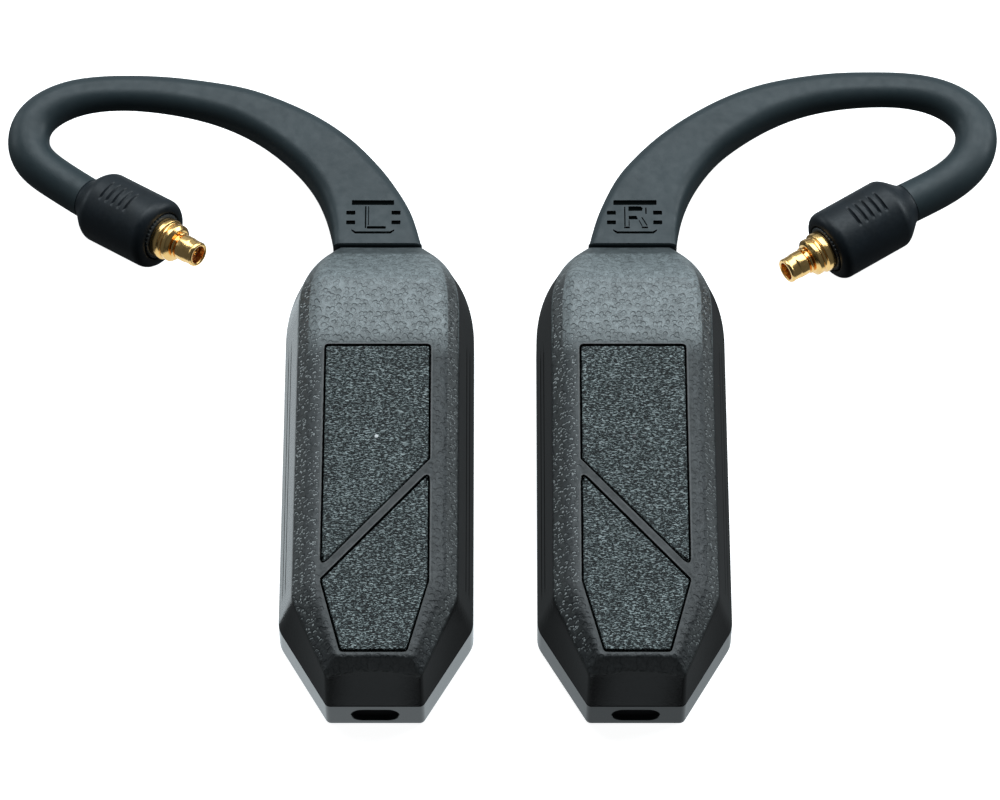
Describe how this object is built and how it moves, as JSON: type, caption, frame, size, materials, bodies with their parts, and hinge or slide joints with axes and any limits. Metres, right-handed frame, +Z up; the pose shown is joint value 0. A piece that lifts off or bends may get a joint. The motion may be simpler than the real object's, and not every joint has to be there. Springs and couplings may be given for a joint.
{
  "type": "wireless ear-hook receivers for in-ear monitors",
  "caption": "A mirrored pair of over-ear receiver pods with smoked shells, grained front panels and moulded ear hooks that end in small gold coaxial plugs.",
  "frame": {"origin": "centre of the pair's base, on the surface that the pods lie on", "axes": "+Z up out of the front faces, +Y from the port ends towards the ear hooks, +X from the left pod to the right pod"},
  "size_m": [0.097, 0.069, 0.011],
  "materials": {
    "smoked_shell": "smoked translucent, polished",
    "smoked_front": "smoked translucent with a fine pebbled texture",
    "grained_panel": "fine leather grain",
    "clear_light": "clear moulded light pipe",
    "copper_film": "thin copper film",
    "board": "solder mask",
    "chip": "moulded epoxy",
    "ceramic": "glazed ceramic",
    "led": "milky",
    "battery_foil": "crinkled foil pouch",
    "can": "stamped can",
    "mesh_black": "woven mesh",
    "gold": "polished gold plating",
    "magnet": "nickel plated",
    "hard_black": "satin",
    "hook_rubber": "matte",
    "cable_red": "cable insulation",
    "insulator": "copper brown insulator"
  },
  "bodies": {
    "left_pod": {"left_back_shell": "smoked_shell", "left_front_shell": "smoked_front", "left_upper_panel": "grained_panel", "left_lower_panel": "grained_panel", "left_light_pipe": "clear_light", "left_touch_film": "copper_film", "left_main_board": "board", "left_radio_chip": "chip", "left_amp_chip": "chip", "left_antenna": "ceramic", "left_status_led": "led", "left_battery": "battery_foil", "left_microphone": "can", "left_port_mesh": "mesh_black", "left_charge_pad_a": "gold", "left_charge_pad_b": "gold", "left_dock_magnet": "magnet", "left_hook_socket": "hard_black"},
    "left_hook": {"left_ear_hook": "hook_rubber", "left_hook_tongue": "hard_black", "left_hook_pin_a": "gold", "left_hook_pin_b": "gold", "left_signal_cable": "cable_red", "left_plug_housing": "hook_rubber", "left_lock_ring": "hard_black", "left_plug_body": "gold", "left_snap_ring": "gold", "left_insulator": "insulator", "left_centre_pin": "gold"},
    "right_pod": {"right_back_shell": "smoked_shell", "right_front_shell": "smoked_front", "right_upper_panel": "grained_panel", "right_lower_panel": "grained_panel", "right_light_pipe": "clear_light", "right_touch_film": "copper_film", "right_main_board": "board", "right_radio_chip": "chip", "right_amp_chip": "chip", "right_antenna": "ceramic", "right_status_led": "led", "right_battery": "battery_foil", "right_microphone": "can", "right_port_mesh": "mesh_black", "right_charge_pad_a": "gold", "right_charge_pad_b": "gold", "right_dock_magnet": "magnet", "right_hook_socket": "hard_black"},
    "right_hook": {"right_ear_hook": "hook_rubber", "right_hook_tongue": "hard_black", "right_hook_pin_a": "gold", "right_hook_pin_b": "gold", "right_signal_cable": "cable_red", "right_plug_housing": "hook_rubber", "right_lock_ring": "hard_black", "right_plug_body": "gold", "right_snap_ring": "gold", "right_insulator": "insulator", "right_centre_pin": "gold"}
  },
  "joints": [
    {"name": "left_hook_pull", "type": "slide", "parent": "left_pod", "child": "left_hook", "axis": [0, 1, 0], "range_m": [0, 0.012]},
    {"name": "right_pod_lift", "type": "slide", "parent": "left_pod", "child": "right_pod", "axis": [0, 0, 1], "range_m": [0, 0.05]},
    {"name": "right_hook_pull", "type": "slide", "parent": "right_pod", "child": "right_hook", "axis": [0, 1, 0], "range_m": [0, 0.012]}
  ]
}
